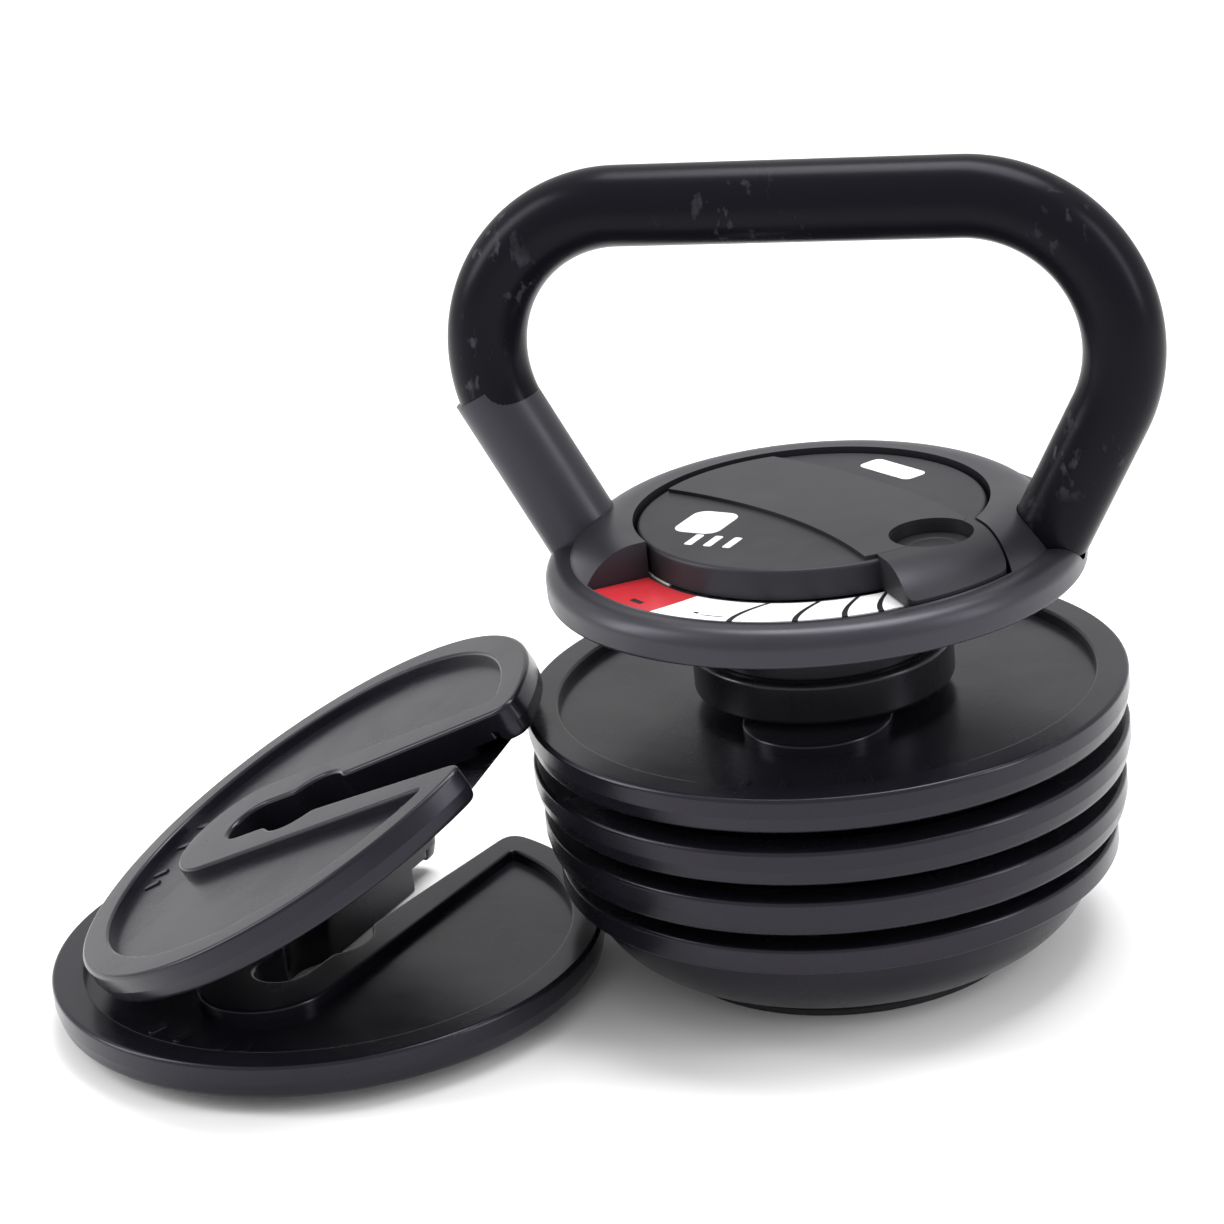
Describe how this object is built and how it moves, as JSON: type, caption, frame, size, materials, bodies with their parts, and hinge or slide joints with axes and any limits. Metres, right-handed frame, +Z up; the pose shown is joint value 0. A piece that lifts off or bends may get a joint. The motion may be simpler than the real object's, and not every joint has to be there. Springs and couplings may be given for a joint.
{
  "type": "adjustable kettlebell",
  "caption": "Adjustable kettlebell: bent tube handle on a domed lid with a lock dial, over slotted iron plates on a round base, with loose plates beside it.",
  "frame": {"origin": "centre of the foot's flat underside, on the bell's vertical axis", "axes": "+Z up; +X along the handle's grip to its right end seen from the scale window; -Y toward the scale window"},
  "size_m": [0.3998, 0.2593, 0.2835],
  "materials": {
    "cast": "smooth black enamel over cast iron",
    "frame_black": "satin black powder coat",
    "tube_black": "satin black, slightly glossy",
    "dial_black": "fine matte texture",
    "trim_black": "smooth satin",
    "button_black": "satin",
    "collar_black": "satin black",
    "foot_rubber": "matte",
    "steel": "turned, lightly oiled",
    "zinc": "zinc plated",
    "label_print": "white and red print under a clear film",
    "mark_print": "white pad print",
    "slip": "smooth natural acetal"
  },
  "bodies": {
    "core": {"foot_pad": "foot_rubber", "base_plate": "cast", "base_washer": "zinc", "base_bolt": "zinc", "centre_post": "steel", "lid": "frame_black", "handle": "tube_black", "scale_label": "label_print", "index_plate": "steel", "index_screws": "zinc", "bridge_bar": "steel", "bridge_screws": "zinc", "post_screws": "zinc", "glide_ring": "slip"},
    "dial": {"dial": "dial_black", "trim_band": "trim_black", "dial_marks": "mark_print", "dial_washer": "zinc", "dial_screw": "zinc", "drive_sleeve": "collar_black", "drive_screws": "zinc"},
    "lock_button": {"lock_button": "button_black", "latch_pin": "steel", "button_spring": "steel"},
    "upper_sleeve": {"upper_sleeve": "collar_black"},
    "lower_sleeve": {"lower_sleeve": "collar_black"},
    "clamp_collar": {"clamp_collar": "collar_black"},
    "plate_1": {"plate_1": "cast"},
    "plate_2": {"plate_2": "cast"},
    "plate_3": {"plate_3": "cast"},
    "plate_4": {"plate_4": "cast"},
    "plate_5": {"plate_5": "cast"},
    "plate_6": {"plate_6": "cast"}
  },
  "joints": [
    {"name": "dial_turn", "type": "hinge", "parent": "core", "child": "dial", "pos_m": [0, 0, 0.16], "axis": [0, 0, 1], "range_deg": [-85, 0]},
    {"name": "button_press", "type": "slide", "parent": "dial", "child": "lock_button", "axis": [0, 0, -1], "range_m": [0, 0.0025], "stiffness_N_per_m": 800, "springref_m": -0.002, "deforming": ["button_spring"]},
    {"name": "upper_sleeve_lift", "type": "slide", "parent": "core", "child": "upper_sleeve", "axis": [0, 0, 1], "range_m": [0, 0.0131]},
    {"name": "lower_sleeve_lift", "type": "slide", "parent": "core", "child": "lower_sleeve", "axis": [0, 0, 1], "range_m": [0, 0.0261]},
    {"name": "collar_lift", "type": "slide", "parent": "core", "child": "clamp_collar", "axis": [0, 0, 1], "range_m": [0, 0.038]},
    {"name": "plate_1_off", "type": "slide", "parent": "core", "child": "plate_1", "axis": [0.1392, -0.9903, 0], "range_m": [0, 0.14]},
    {"name": "plate_2_off", "type": "slide", "parent": "core", "child": "plate_2", "axis": [0.1392, -0.9903, 0], "range_m": [0, 0.14]},
    {"name": "plate_3_off", "type": "slide", "parent": "core", "child": "plate_3", "axis": [0.1392, -0.9903, 0], "range_m": [0, 0.14]},
    {"name": "plate_4_off", "type": "slide", "parent": "core", "child": "plate_4", "axis": [0.1392, -0.9903, 0], "range_m": [0, 0.14]},
    {"name": "plate_5_slide", "type": "slide", "parent": "core", "child": "plate_5", "axis": [-0.9613, -0.2756, 0], "range_m": [0, 0.12]},
    {"name": "plate_6_lift", "type": "slide", "parent": "core", "child": "plate_6", "axis": [-0.4544, -0.1049, 0.8846], "range_m": [0, 0.1]}
  ],
  "couplings": [
    {"joint": "upper_sleeve_lift", "follows": "dial_turn", "m_per_rad": -0.0088303},
    {"joint": "lower_sleeve_lift", "follows": "dial_turn", "m_per_rad": -0.017593},
    {"joint": "collar_lift", "follows": "dial_turn", "m_per_rad": -0.025615}
  ]
}
